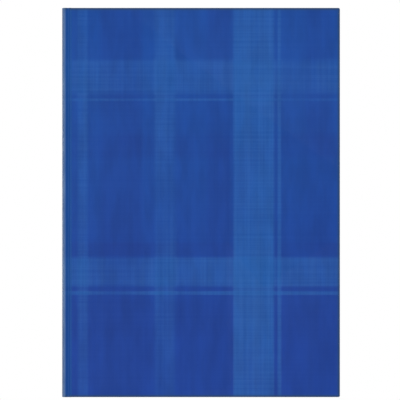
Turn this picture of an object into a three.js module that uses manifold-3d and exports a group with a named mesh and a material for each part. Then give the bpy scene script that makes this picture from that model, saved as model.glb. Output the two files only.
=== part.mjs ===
// A hardback notebook of A4 leaves: twelve thread-sewn sections in a turned-in case made of two
// cover boards and a spine board. Millimetres, +Z up. The closed book lies on its back cover, with
// its head towards +Y and its spine towards -X. The origin is under the middle of the book, on the
// surface that it lies on.

import * as THREE from "three";
import { mergeVertices } from "three/addons/utils/BufferGeometryUtils.js";
import Module from "manifold-3d";

// Leaves and sections
const LEAF_WIDTH = 210;
const LEAF_HEIGHT = 297;
const LEAF = 0.098; // one leaf of smooth 90 g/m2 writing paper
const LEAF_AIR = 0.012; // air between two leaves
const LEAVES_PER_SECTION = 8; // four sheets, folded once
const SECTION_COUNT = 12; // 96 leaves
const SECTION_AIR = 0.02;
const FOLD_JOIN = 1.6; // the leaves of a section hold together this far in from the fold
const FOLD_ARC_STEPS = 8;
const FRONT_LOOSE_LEAVES = 3; // first leaves that lift as the front cover opens
const BACK_LOOSE_LEAVES = 2; // last leaves that lift as the back cover opens
const LEAF_HINGE_GAP = 0.3; // from a loose leaf to its stub in the fold

// Sewing
const THREAD = 0.36; // diameter
const THREAD_SIDES = 6;
const THREAD_CLEARANCE = 0.04;
const THREAD_DEPTH = 0.52; // from the outside of the fold to the channel that the thread lies in
const STITCH_COUNT = 4; // stitches along the height of each fold
const STITCH_LENGTH = 28;

// Linings on the sewn spine
const LAYER_GAP = 0.02; // between two layers that are glued together
const MULL = 0.2; // open gauze
const MULL_MARGIN = 6; // the gauze keeps this far from the band tabs and the turn-ins
const MULL_WING = 22; // how far the gauze reaches onto each cover board
const LINING = 0.2; // kraft paper
const BAND_BEAD = 0.85; // radius of the bead
const BAND_TAB = 7; // how far a band is glued down the spine
const BAND_SEAT = 0.05; // from the leaf edges to the bead
const BAND_ARC_STEPS = 14;

// Case
const BOARD = 2;
const SPINE_BOARD = 1.8;
const BOARD_SQUARE = 2.8; // board beyond the leaves at head, tail and fore-edge
const COVERING = 0.25; // printed and laminated covering paper
const TURN_IN = 15;
const MITRE_GAP = 0.3; // where two turn-ins meet at a corner
const EDGE_ROUND = 0.3; // edges of the covered cover boards
const EDGE_ROUND_STEPS = 2;
const SPINE_ROUND = 1.5; // long outer edges of the covered spine board
const SPINE_ROUND_STEPS = 6;
const ENDPAPER = 0.16;
const COVER_CLEARANCE = 0.1; // from a flyleaf to the pastedown that faces it
const HOLLOW = 0.1; // air between the spine lining and the covering's turn-in

// Joints between the spine and the covers
const JOINT_WIDTH = 5; // from the spine board to each cover board
const JOINT_GAP = 0.05; // from what crosses a joint to what it meets
const GROOVE_DEPTH = 1.1; // how far the covering is pressed in between the boards
const GROOVE_STEPS = 12;
const LEAF_BEND_CLEARANCE = 0.25; // loose leaves bend this far beyond the joint
const LEAF_BEND_ROOM = 0.6; // from the bend to the flat of a loose leaf, so that leaves fan out clear

// Cutting tools reach this far past what they cut
const OVERSHOOT = 1;

// Colours
const PAPER = { color: 0xf6f5ef, roughness: 0.85, metalness: 0 };
const ENDPAPER_STOCK = { color: 0xf1f0ea, roughness: 0.9, metalness: 0 };
const PRINTED_BLUE = { color: 0x254a99, roughness: 0.42, metalness: 0 };
const GREYBOARD = { color: 0x9a958a, roughness: 0.95, metalness: 0 };
const KRAFT = { color: 0xb08c5f, roughness: 0.9, metalness: 0 };
const GAUZE = { color: 0xe8e2d2, roughness: 1, metalness: 0 };
const LINEN_THREAD = { color: 0xf4efe2, roughness: 0.8, metalness: 0 };
const BAND_CLOTH = { color: 0x2a4fa0, roughness: 0.8, metalness: 0 };

// The block, with its fold tips at x = 0 and its middle at y = 0 and z = 0
const leafPitch = LEAF + LEAF_AIR;
const leafHalf = LEAF_HEIGHT / 2;
const sectionThickness = LEAVES_PER_SECTION * leafPitch - LEAF_AIR;
const sectionPitch = sectionThickness + SECTION_AIR;
const sewnHalf = (SECTION_COUNT * sectionPitch - SECTION_AIR) / 2;
const blockHalf = sewnHalf + SECTION_AIR + ENDPAPER;

// Layers of a cover, as distances from the middle of the book
const coverInner = blockHalf + COVER_CLEARANCE;
const pastedownOuter = coverInner + ENDPAPER;
const turnInInner = pastedownOuter + LAYER_GAP;
const turnInOuter = turnInInner + COVERING;
const boardInner = turnInOuter + LAYER_GAP;
const boardOuter = boardInner + BOARD;
const coveringInner = boardOuter + LAYER_GAP;
const coverOuter = coveringInner + COVERING;

// Layers behind the folds. Near is the side towards the folds, far the side away from them.
const linkStitchX = -(THREAD_CLEARANCE + THREAD / 2);
const mullNearX = linkStitchX - THREAD / 2 - THREAD_CLEARANCE;
const mullFarX = mullNearX - MULL;
const liningFarX = mullFarX - LAYER_GAP - LINING;
const spineTurnInX = liningFarX - HOLLOW;
const spineBoardNearX = spineTurnInX - COVERING - LAYER_GAP;
const spineBoardFarX = spineBoardNearX - SPINE_BOARD;
const spineFarX = spineBoardFarX - LAYER_GAP - COVERING;

// The outline of the covers
const edgeWrap = COVERING + LAYER_GAP;
const boardHalf = leafHalf + BOARD_SQUARE;
const caseHalf = boardHalf + edgeWrap;
const boardHingeX = spineBoardNearX + JOINT_WIDTH;
const boardForeX = LEAF_WIDTH + BOARD_SQUARE;
const caseForeX = boardForeX + edgeWrap;

// What crosses the joints
const mullHalf = Math.min(leafHalf - BAND_TAB, caseHalf - TURN_IN) - MULL_MARGIN;
const mullFlangeInner = pastedownOuter + LAYER_GAP;
const jointSpineX = spineTurnInX + JOINT_GAP;
const jointCoverX = boardHingeX - JOINT_GAP;
const leafBendX = boardHingeX + LEAF_BEND_CLEARANCE;
const stubEndX = leafBendX - LEAF_HINGE_GAP;
const leafFlatX = leafBendX + LEAF_BEND_ROOM;

// The channel in each fold that the thread lies in
const channelHalf = THREAD / 2 + THREAD_CLEARANCE;
const channelMiddleX = THREAD_DEPTH + channelHalf;
const channelEndX = channelMiddleX + channelHalf;

const wasm = await Module();
wasm.setup();

/** A closed geometry as a solid that can be cut and joined. */
function solidOf(geometry) {
  const bare = geometry.index ? geometry.toNonIndexed() : geometry.clone();
  bare.deleteAttribute("normal");
  bare.deleteAttribute("uv");
  const merged = mergeVertices(bare, 1e-5);
  return new wasm.Manifold(
    new wasm.Mesh({
      numProp: 3,
      vertProperties: new Float32Array(merged.attributes.position.array),
      triVerts: new Uint32Array(merged.index.array),
    }),
  );
}

/** A solid as a geometry with flat shading. */
function geometryOf(solid) {
  const mesh = solid.getMesh();
  const indexed = new THREE.BufferGeometry();
  indexed.setAttribute("position", new THREE.BufferAttribute(mesh.vertProperties, mesh.numProp));
  indexed.setIndex(new THREE.BufferAttribute(mesh.triVerts, 1));
  const flat = indexed.toNonIndexed();
  flat.computeVertexNormals();
  return flat;
}

/** A geometry less each of the cutters. */
function cut(geometry, cutters) {
  const left = cutters.reduce((rest, cutter) => rest.subtract(solidOf(cutter)), solidOf(geometry));
  return geometryOf(left);
}

/** Geometries that overlap or meet, as one. */
function join(geometries) {
  return geometryOf(geometries.map(solidOf).reduce((all, next) => all.add(next)));
}

/** A box between two values on each axis. */
function box(x, y, z) {
  const size = [x, y, z].map(([low, high]) => high - low);
  const middle = [x, y, z].map(([low, high]) => (low + high) / 2);
  return new THREE.BoxGeometry(...size).translate(...middle);
}

/** The two values that lie this far each side of a middle. */
function around(middle, half) {
  return [middle - half, middle + half];
}

/** An outline in x and y, carried along z. */
function alongThickness(outline, [low, high], steps = 1) {
  const options = { depth: high - low, bevelEnabled: false, curveSegments: steps };
  return new THREE.ExtrudeGeometry(outline, options).translate(0, 0, low);
}

/** An outline in x and z, carried along y. */
function alongHeight(outline, [low, high], steps = 1) {
  const options = { depth: high - low, bevelEnabled: false, curveSegments: steps };
  return new THREE.ExtrudeGeometry(outline, options).rotateX(Math.PI / 2).translate(0, high, 0);
}

/** The y of the two sewing holes of each stitch. */
function stitchHoles() {
  const pitch = LEAF_HEIGHT / STITCH_COUNT;
  return Array.from({ length: STITCH_COUNT }, (_, i) =>
    around((i + 0.5) * pitch - leafHalf, STITCH_LENGTH / 2),
  );
}

/**
 * A section's outline in x and z: a rounded fold, the leaves with air between them, and a channel
 * in the middle of the fold for the thread. Loose leaves below and above leave only their stubs.
 */
function sectionOutline(looseBelow, looseAbove) {
  const middle = sectionThickness / 2;
  const outline = new THREE.Shape();
  outline.moveTo(middle, 0);
  for (let leaf = 0; leaf < LEAVES_PER_SECTION; leaf += 1) {
    const loose = leaf < looseBelow || leaf >= LEAVES_PER_SECTION - looseAbove;
    const edgeX = loose ? stubEndX : LEAF_WIDTH;
    const low = leaf * leafPitch;
    const high = low + LEAF;
    outline.lineTo(edgeX, low);
    outline.lineTo(edgeX, high);
    if (leaf === LEAVES_PER_SECTION / 2 - 1) {
      outline.lineTo(channelEndX, high);
      outline.lineTo(channelEndX, middle - channelHalf);
      outline.lineTo(THREAD_DEPTH, middle - channelHalf);
      outline.lineTo(THREAD_DEPTH, middle + channelHalf);
      outline.lineTo(channelEndX, middle + channelHalf);
      outline.lineTo(channelEndX, high + LEAF_AIR);
    } else if (leaf < LEAVES_PER_SECTION - 1) {
      outline.lineTo(FOLD_JOIN, high);
      outline.lineTo(FOLD_JOIN, high + LEAF_AIR);
    }
  }
  outline.lineTo(middle, sectionThickness);
  outline.absarc(middle, middle, middle, Math.PI / 2, (3 * Math.PI) / 2, false);
  return outline;
}

/** One folded section with its sewing holes, its lower face at z = 0. */
function section(looseBelow, looseAbove) {
  const outline = sectionOutline(looseBelow, looseAbove);
  const folded = alongHeight(outline, around(0, leafHalf), FOLD_ARC_STEPS);
  const across = around(sectionThickness / 2, channelHalf);
  const holes = stitchHoles().flat();
  return cut(
    folded,
    holes.map((y) => box([-OVERSHOOT, channelMiddleX], around(y, channelHalf), across)),
  );
}

/** The z of a section's lower face. Sections are counted from the front cover. */
function sectionFloor(index) {
  return sewnHalf - sectionThickness - index * sectionPitch;
}

/**
 * A tube of the thread's diameter along points that are joined by straight runs. The ring at each
 * corner lies in the plane that halves the corner.
 */
function threadTube(points) {
  const along = points.slice(1).map((point, i) => point.clone().sub(points[i]).normalize());
  const side = new THREE.Vector3(0, 0, 1);
  const up = new THREE.Vector3().crossVectors(along[0], side);
  const corners = [];
  points.forEach((point, i) => {
    const before = along[Math.max(i - 1, 0)];
    const after = along[Math.min(i, along.length - 1)];
    const halving = before.clone().add(after).normalize();
    for (let k = 0; k < THREAD_SIDES; k += 1) {
      const angle = (2 * Math.PI * k) / THREAD_SIDES;
      const spoke = side.clone().multiplyScalar(Math.cos(angle)).addScaledVector(up, Math.sin(angle));
      spoke.multiplyScalar(THREAD / 2);
      const slide = -spoke.dot(halving) / before.dot(halving);
      corners.push(point.clone().add(spoke).addScaledVector(before, slide));
    }
    const turn = new THREE.Quaternion().setFromUnitVectors(before, after);
    side.applyQuaternion(turn);
    up.applyQuaternion(turn);
  });
  const faces = [];
  const lastRing = corners.length - THREAD_SIDES;
  for (let ring = 0; ring < lastRing; ring += THREAD_SIDES) {
    for (let k = 0; k < THREAD_SIDES; k += 1) {
      const here = ring + k;
      const next = ring + ((k + 1) % THREAD_SIDES);
      faces.push(here, next, next + THREAD_SIDES, here, next + THREAD_SIDES, here + THREAD_SIDES);
    }
  }
  for (let k = 1; k < THREAD_SIDES - 1; k += 1) {
    faces.push(0, k + 1, k, lastRing, lastRing + k, lastRing + k + 1);
  }
  const tube = new THREE.BufferGeometry().setFromPoints(corners);
  tube.setIndex(faces);
  const flat = tube.toNonIndexed();
  flat.computeVertexNormals();
  return flat;
}

/**
 * The thread of one row of stitches. It runs along the inside of a section's fold from one hole to
 * the other, comes out, links to the next section behind the folds and goes in again.
 */
function sewingThread(holes) {
  const route = [];
  for (let index = 0; index < SECTION_COUNT; index += 1) {
    const z = sectionFloor(index) + sectionThickness / 2;
    const [entry, exit] = index % 2 === 0 ? holes : [...holes].reverse();
    route.push(
      new THREE.Vector3(linkStitchX, entry, z),
      new THREE.Vector3(channelMiddleX, entry, z),
      new THREE.Vector3(channelMiddleX, exit, z),
      new THREE.Vector3(linkStitchX, exit, z),
    );
  }
  return threadTube(route.slice(1, -1));
}

/** The gauze over the folds and across both joints. */
function spineMull() {
  const outer = mullFlangeInner + MULL;
  const wrap = box([mullFarX, jointCoverX], around(0, mullHalf), around(0, outer));
  const inside = box(
    [mullNearX, jointCoverX + OVERSHOOT],
    around(0, mullHalf + OVERSHOOT),
    around(0, mullFlangeInner),
  );
  return cut(wrap, [inside]);
}

/** The paper glued over the gauze and the tabs of the bands. */
function spineLining() {
  return box([liningFarX, liningFarX + LINING], around(0, leafHalf), around(0, sewnHalf));
}

/** The head band: a bead along the ends of the folds and a tab glued down the spine. */
function headBand() {
  const beadX = mullFarX + BAND_BEAD;
  const beadY = leafHalf + BAND_SEAT + BAND_BEAD;
  const meeting = Math.acos((mullNearX - beadX) / BAND_BEAD);
  const outline = new THREE.Shape();
  outline.moveTo(mullFarX, leafHalf - BAND_TAB);
  outline.lineTo(mullNearX, leafHalf - BAND_TAB);
  outline.absarc(beadX, beadY, BAND_BEAD, -meeting, Math.PI, false);
  return alongThickness(outline, around(0, sewnHalf), BAND_ARC_STEPS);
}

/** An outline in x and z of the spine, with its two far edges rounded. */
function spineOutline(nearX, farX, half, round) {
  const outline = new THREE.Shape();
  outline.moveTo(nearX, -half);
  outline.lineTo(nearX, half);
  outline.absarc(farX + round, half - round, round, Math.PI / 2, Math.PI, false);
  outline.absarc(farX + round, round - half, round, Math.PI, (3 * Math.PI) / 2, false);
  return outline;
}

/** The board in the spine of the case. */
function spineBoard() {
  const round = SPINE_ROUND - edgeWrap;
  const outline = spineOutline(spineBoardNearX, spineBoardFarX, boardOuter, round);
  return alongHeight(outline, around(0, boardHalf), SPINE_ROUND_STEPS);
}

/** The covering of the spine, which goes over the board's ends and is turned in behind it. */
function spineCovering() {
  const outline = spineOutline(spineTurnInX, spineFarX, coverOuter, SPINE_ROUND);
  const wrapped = alongHeight(outline, around(0, caseHalf), SPINE_ROUND_STEPS);
  const pocketOutline = spineOutline(
    spineBoardNearX + LAYER_GAP,
    spineBoardFarX - LAYER_GAP,
    coveringInner,
    SPINE_ROUND - COVERING,
  );
  const pocket = alongHeight(pocketOutline, around(0, boardHalf + LAYER_GAP), SPINE_ROUND_STEPS);
  const window = box([spineBoardNearX, 0], around(0, caseHalf - TURN_IN), around(0, coveringInner));
  return cut(wrapped, [pocket, window]);
}

/** Points across the groove of the front joint, from the spine to the cover. */
function groovePoints(below) {
  return Array.from({ length: GROOVE_STEPS + 1 }, (_, step) => {
    const share = step / GROOVE_STEPS;
    const dip = (GROOVE_DEPTH / 2) * (1 - Math.cos(2 * Math.PI * share));
    const x = jointSpineX + share * (jointCoverX - jointSpineX);
    return new THREE.Vector2(x, coverOuter - dip - below);
  });
}

/** The covering of a joint, pressed into its groove and doubled by the turn-in at each end. */
function jointCovering() {
  const layers = (count) =>
    new THREE.Shape([...groovePoints(0), ...groovePoints(count * COVERING).reverse()]);
  const turnInY = caseHalf - TURN_IN;
  return join([
    alongHeight(layers(1), around(0, caseHalf)),
    alongHeight(layers(2), [turnInY, caseHalf]),
    alongHeight(layers(2), [-caseHalf, -turnInY]),
  ]);
}

/** A cover board, from the joint to the fore-edge. */
function coverBoard() {
  return box([boardHingeX, boardForeX], around(0, boardHalf), [boardInner, boardOuter]);
}

/** The slit where two turn-ins meet, from the window's corner to the board's corner. */
function mitre(end) {
  const innerX = caseForeX - TURN_IN;
  const length = Math.SQRT2 * (boardForeX - innerX);
  const middle = [(boardForeX + innerX) / 2, (end * (boardHalf + caseHalf - TURN_IN)) / 2];
  const depth = [turnInInner - OVERSHOOT, turnInOuter];
  const slit = box(around(0, length / 2), around(0, MITRE_GAP / 2), depth);
  return slit.rotateZ((end * Math.PI) / 4).translate(...middle, 0);
}

/**
 * The covering of a cover. It lies on the outside of the board, goes round its head, tail and
 * fore-edge, and is turned in on the inside with mitred corners.
 */
function coverCovering() {
  const thickness = coverOuter - turnInInner;
  const outline = new THREE.Shape();
  outline.moveTo(0, -caseHalf);
  outline.lineTo(caseForeX, -caseHalf);
  outline.lineTo(caseForeX, caseHalf);
  outline.lineTo(0, caseHalf);
  const wrapped = new THREE.ExtrudeGeometry(outline, {
    depth: thickness - 2 * EDGE_ROUND,
    bevelThickness: EDGE_ROUND,
    bevelSize: EDGE_ROUND,
    bevelOffset: -EDGE_ROUND,
    bevelSegments: EDGE_ROUND_STEPS,
  }).translate(0, 0, turnInInner + EDGE_ROUND);
  const past = -OVERSHOOT;
  const inside = turnInInner - OVERSHOOT;
  const outside = coverOuter + OVERSHOOT;
  const pocketHalf = boardHalf + LAYER_GAP;
  return cut(wrapped, [
    box([past, boardForeX + LAYER_GAP], around(0, pocketHalf), [turnInOuter, coveringInner]),
    box([past, caseForeX - TURN_IN], around(0, caseHalf - TURN_IN), [inside, coveringInner]),
    box([past, boardHingeX], around(0, caseHalf + OVERSHOOT), [inside, outside]),
    mitre(1),
    mitre(-1),
  ]);
}

/** The half of an endpaper that is pasted onto the board and its turn-ins. */
function pastedown() {
  return box([boardHingeX, LEAF_WIDTH], around(0, leafHalf), [coverInner, pastedownOuter]);
}

/** The part of the gauze that is glued between a board and its pastedown. */
function mullWing() {
  const reach = [boardHingeX, boardHingeX + MULL_WING];
  return box(reach, around(0, mullHalf), [turnInInner, turnInInner + MULL]);
}

/** The fold of an endpaper: its stub on the block, the fold, and the strip across the joint. */
function hingeStrip() {
  const stubLow = blockHalf - ENDPAPER;
  const middle = (stubLow + pastedownOuter) / 2;
  const outer = (pastedownOuter - stubLow) / 2;
  const inner = outer - ENDPAPER;
  const outline = new THREE.Shape();
  outline.moveTo(stubEndX, blockHalf);
  outline.absarc(outer, middle, inner, -Math.PI / 2, Math.PI / 2, true);
  outline.lineTo(jointCoverX, coverInner);
  outline.lineTo(jointCoverX, pastedownOuter);
  outline.absarc(outer, middle, outer, Math.PI / 2, -Math.PI / 2, false);
  outline.lineTo(stubEndX, stubLow);
  return alongHeight(outline, around(0, leafHalf), FOLD_ARC_STEPS);
}

/** The half of an endpaper that is a free leaf. */
function flyleaf() {
  return box([leafFlatX, LEAF_WIDTH], around(0, leafHalf), [blockHalf - ENDPAPER, blockHalf]);
}

/** A single loose leaf, its lower face at z = 0. */
function looseLeaf() {
  return box([leafFlatX, LEAF_WIDTH], around(0, leafHalf), [0, LEAF]);
}

const notebook = new THREE.Group();
notebook.position.set(-(spineFarX + caseForeX) / 2, 0, coverOuter);

/** Adds one named piece to the book. */
function add(name, geometry, look, z = 0) {
  const mesh = new THREE.Mesh(geometry, new THREE.MeshStandardMaterial(look));
  mesh.name = name;
  mesh.position.z = z;
  notebook.add(mesh);
}

// The sewn block
const plainSection = section(0, 0);
for (let index = 0; index < SECTION_COUNT; index += 1) {
  const number = String(index + 1).padStart(2, "0");
  let folded = plainSection;
  if (index === 0) folded = section(0, FRONT_LOOSE_LEAVES);
  if (index === SECTION_COUNT - 1) folded = section(BACK_LOOSE_LEAVES, 0);
  add(`section_${number}`, folded, PAPER, sectionFloor(index));
}
stitchHoles().forEach((holes, i) => {
  add(`sewing_thread_${i + 1}`, sewingThread(holes), LINEN_THREAD);
});
add("spine_mull", spineMull(), GAUZE);
add("spine_lining", spineLining(), KRAFT);
add("head_band", headBand(), BAND_CLOTH);
add("tail_band", headBand().rotateX(Math.PI), BAND_CLOTH);

// Loose leaves, counted from the cover that they lie under
for (let leaf = 0; leaf < FRONT_LOOSE_LEAVES; leaf += 1) {
  const z = sectionFloor(0) + (LEAVES_PER_SECTION - 1 - leaf) * leafPitch;
  add(`front_leaf_${leaf + 1}`, looseLeaf(), PAPER, z);
}
for (let leaf = 0; leaf < BACK_LOOSE_LEAVES; leaf += 1) {
  const z = sectionFloor(SECTION_COUNT - 1) + leaf * leafPitch;
  add(`back_leaf_${leaf + 1}`, looseLeaf(), PAPER, z);
}

// The case and the endpapers. Each back piece is its front piece turned over.
add("spine_board", spineBoard(), GREYBOARD);
add("spine_covering", spineCovering(), PRINTED_BLUE);
for (const [cover, turn] of [
  ["front", 0],
  ["back", Math.PI],
]) {
  add(`${cover}_board`, coverBoard().rotateX(turn), GREYBOARD);
  add(`${cover}_covering`, coverCovering().rotateX(turn), PRINTED_BLUE);
  add(`${cover}_joint_covering`, jointCovering().rotateX(turn), PRINTED_BLUE);
  add(`${cover}_mull_wing`, mullWing().rotateX(turn), GAUZE);
  add(`${cover}_pastedown`, pastedown().rotateX(turn), ENDPAPER_STOCK);
  add(`${cover}_hinge_strip`, hingeStrip().rotateX(turn), ENDPAPER_STOCK);
  add(`${cover}_flyleaf`, flyleaf().rotateX(turn), ENDPAPER_STOCK);
}

export default notebook;
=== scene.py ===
"""Dresses the hardcover notebook and sets its studio, camera and light.

The rigid parts come from the frame and get their materials here. The parts that bend, which are
the joint coverings, the gauze in the joints, the folded endpapers and the loose leaves, are
modelled here as thin sheets. So is the paper round the boards and the spine, whose edges are
rounder than the frame's. All sizes are in millimetres unless it says metres.
"""

from __future__ import annotations

import logging
import math
import sys
from dataclasses import dataclass
from enum import Enum
from functools import cache, partial
from typing import Any, Callable, Iterable, Sequence

import bpy
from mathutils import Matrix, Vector

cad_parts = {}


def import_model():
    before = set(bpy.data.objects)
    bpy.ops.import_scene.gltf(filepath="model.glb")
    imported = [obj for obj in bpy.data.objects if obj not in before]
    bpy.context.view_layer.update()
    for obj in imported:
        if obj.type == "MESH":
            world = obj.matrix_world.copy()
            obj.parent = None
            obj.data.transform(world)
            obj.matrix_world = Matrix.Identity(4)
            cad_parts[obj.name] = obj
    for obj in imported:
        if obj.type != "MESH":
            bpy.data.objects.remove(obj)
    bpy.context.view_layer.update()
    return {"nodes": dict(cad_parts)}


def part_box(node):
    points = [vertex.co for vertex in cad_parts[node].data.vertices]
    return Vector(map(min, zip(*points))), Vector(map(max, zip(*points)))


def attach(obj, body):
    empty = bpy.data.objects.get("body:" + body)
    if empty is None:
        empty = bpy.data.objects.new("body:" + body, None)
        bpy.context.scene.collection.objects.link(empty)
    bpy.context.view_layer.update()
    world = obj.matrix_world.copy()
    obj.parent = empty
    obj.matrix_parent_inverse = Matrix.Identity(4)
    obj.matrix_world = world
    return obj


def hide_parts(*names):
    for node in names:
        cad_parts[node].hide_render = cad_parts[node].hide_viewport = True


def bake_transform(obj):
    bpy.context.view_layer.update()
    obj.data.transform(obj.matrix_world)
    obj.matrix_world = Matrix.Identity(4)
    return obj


MM = 0.001
LOG = logging.getLogger("notebook")
REST_PLACE = "rest_place"
TOUCH = 0.01  # two places nearer than this are one
APART = 1.0  # two places farther apart than this are clearly two
FACING = 0.99  # how much of a normal has to point a way for its face to look that way

Point = tuple[float, float]
Triple = tuple[float, float, float]
Ramp = tuple[float, ...]  # a value's start and end, then the result at each, 0 and 1 if left out
Piece = bpy.types.Object
Socket = bpy.types.NodeSocket
Adder = Callable[..., Socket]
Rule = Callable[[Vector, Vector], bool]

SOFT = {"interpolation_type": "SMOOTHSTEP"}
COLOURS = {"data_type": "RGBA"}


class Coordinates(Enum):
    """Where a material reads its place from."""

    OBJECT = "object"
    REST = "rest"


class Slot(Enum):
    """The material slots, by their names."""

    PAPER = "writing_paper"
    ENDPAPER = "endpaper"
    COVER = "printed_cover_paper"
    BOARD = "greyboard"
    KRAFT = "kraft_paper"
    GAUZE = "gauze"
    THREAD = "linen_thread"
    BAND = "band_cloth"


@dataclass(frozen=True)
class Box:
    """A box in the shared frame."""

    low: Triple
    high: Triple

    @classmethod
    def of_node(cls, node: str) -> Box:
        """Reads the box of one of the frame's nodes, by its name."""
        low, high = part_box(node)
        return cls(tuple(c / MM for c in low), tuple(c / MM for c in high))

    @property
    def straight(self) -> list[Point]:
        """The outline of a flat sheet that fills the box from tail to head."""
        return [(-self.high[1], 0.0), (self.high[1], 0.0)]


class Side(Enum):
    """The two covers, with the way their outside faces along Z."""

    FRONT = 1
    BACK = -1

    @property
    def word(self) -> str:
        """The word that starts the names of this side's pieces."""
        return self.name.lower()

    @property
    def cover(self) -> str:
        """The body that this side's cover is."""
        return f"{self.word}_cover"

    def outer(self, box: Box) -> float:
        """The height of a box's face that looks out of the book."""
        return box.high[2] if self is Side.FRONT else box.low[2]

    def inner(self, box: Box) -> float:
        """The height of a box's face that looks into the book."""
        return box.low[2] if self is Side.FRONT else box.high[2]


@dataclass(frozen=True)
class Layout:
    """The places and sizes that several sub-assemblies share."""

    half_width: float
    half_height: float
    middle: float  # half the closed thickness
    spine_edge: float  # where the joints begin
    cover_edge: float  # where the cover boards begin
    fold_tip: float  # the outside of the sections' folds
    leaf_flat: float  # where the frame's leaves begin
    leaf_held: float = 0.6  # how far before that a leaf begins to lift
    leaf_curve: float = 8.0  # how far it bends from there
    covering: float = 0.25
    turn_in: float = 15.0
    edge_round: float = 1.2
    edge_steps: int = 4

    @property
    def leaf_bend(self) -> float:
        """Where a leaf begins to lift."""
        return self.leaf_flat - self.leaf_held


@cache
def layout() -> Layout:
    """Reads the shared places from the frame, at the first call after it is loaded.

    Returns:
        The places and sizes.
    """
    spine, cover = Box.of_node("spine_covering"), Box.of_node("front_covering")
    return Layout(
        half_width=cover.high[0],
        half_height=cover.high[1],
        middle=(spine.low[2] + spine.high[2]) / 2,
        spine_edge=spine.high[0],
        cover_edge=cover.low[0],
        fold_tip=Box.of_node("section_01").low[0],
        leaf_flat=Box.of_node("front_leaf_1").low[0],
    )


def linear(code: str) -> tuple[float, float, float, float]:
    """Turns a screen colour into the renderer's linear one.

    Args:
        code: The colour as #rrggbb.

    Returns:
        Red, green, blue and alpha.
    """
    parts = [int(code[i : i + 2], 16) / 255 for i in (1, 3, 5)]
    red, green, blue = (c / 12.92 if c <= 0.04045 else ((c + 0.055) / 1.055) ** 2.4 for c in parts)
    return red, green, blue, 1.0


def add_node(
    tree: bpy.types.NodeTree,
    kind: str,
    inputs: dict[str, Any] | Sequence[Any] = (),
    output: str | None = None,
    **settings: Any,
) -> Socket | None:
    """Adds one shader node, sets its properties, and fills or links its inputs.

    Args:
        tree: The node tree.
        kind: The node's type, without the word that all of them start with.
        inputs: Numbers, colours as #rrggbb or sockets, in order or by the input's name.
        output: The name of the output to give back, if it isn't the first one in use.
        settings: Properties of the node.

    Returns:
        The output's socket, or None for a node that ends its tree.
    """
    node = tree.nodes.new(f"ShaderNode{kind}")
    for name, value in settings.items():
        setattr(node, name, value)
    if isinstance(inputs, dict):
        pairs = [(node.inputs[key], value) for key, value in inputs.items()]
    else:
        pairs = zip([socket for socket in node.inputs if socket.enabled], inputs)
    for socket, value in pairs:
        if isinstance(value, Socket):
            tree.links.new(value, socket)
        else:
            socket.default_value = linear(value) if isinstance(value, str) else value
    if output:
        return node.outputs[output]
    return next((socket for socket in node.outputs if socket.enabled), None)


# Finishes


@dataclass(frozen=True)
class Finish:
    """A surface finish, made into a material once for each source of coordinates."""

    name: str
    slot: Slot | None

    def material(self, source: Coordinates = Coordinates.OBJECT) -> bpy.types.Material:
        """Gives the finish's material, which is made at the first call.

        Args:
            source: Where the material reads its place from.

        Returns:
            The material.
        """
        label = f"{self.name}_{source.value}"
        made = bpy.data.materials.get(label)
        if made:
            return made
        made = bpy.data.materials.new(label)
        made.use_nodes = True
        made.node_tree.nodes.clear()
        add = partial(add_node, made.node_tree)
        if source is Coordinates.OBJECT:
            place = add("TexCoord", output="Object")
        else:
            place = add("Attribute", output="Vector", attribute_name=REST_PLACE)
        place = add("VectorMath", (place, 1 / MM), operation="SCALE")
        add("OutputMaterial", {"Surface": self.shader(add, place)})
        return made

    def shader(self, add: Adder, place: Socket) -> Socket:
        """Adds the finish's own nodes, with the function and the place given."""
        raise NotImplementedError


@dataclass(frozen=True)
class Grain:
    """An uneven pattern, by the size of its grains along X, Y and Z."""

    size: Triple
    detail: float = 2.0
    roughness: float = 0.5

    def value(self, add: Adder, place: Socket) -> Socket:
        """Adds the pattern.

        Args:
            add: Adds a node.
            place: The place on the piece.

        Returns:
            The socket of its value, from 0 to 1.
        """
        scaled = add("VectorMath", (place, self.size), operation="DIVIDE")
        shape = {"Scale": 1.0, "Detail": self.detail, "Roughness": self.roughness}
        return add("TexNoise", {"Vector": scaled, **shape})


@dataclass(frozen=True)
class Band:
    """One soft band of the printed check, across one axis."""

    centre: float
    half_width: float
    softness: float
    strength: float

    def value(self, add: Adder, along: Socket) -> Socket:
        """Adds the band.

        Args:
            add: Adds a node.
            along: The coordinate that it lies across.

        Returns:
            The socket of its strength.
        """
        away = add("Math", (along, self.centre), operation="SUBTRACT")
        away = add("Math", (away,), operation="ABSOLUTE")
        outer = self.half_width + self.softness
        inner = max(self.half_width - self.softness, 0.0)
        return add("MapRange", (away, outer, inner, 0.0, self.strength), **SOFT)


def sum_of_bands(add: Adder, along: Socket, bands: Iterable[Band]) -> Socket:
    """Adds up bands that lie across one axis.

    Args:
        add: Adds a node.
        along: The coordinate that they lie across.
        bands: The bands.

    Returns:
        The sum's socket.
    """
    total: float | Socket = 0.0
    for band in bands:
        total = add("Math", (total, band.value(add, along)), operation="ADD")
    return total


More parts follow.
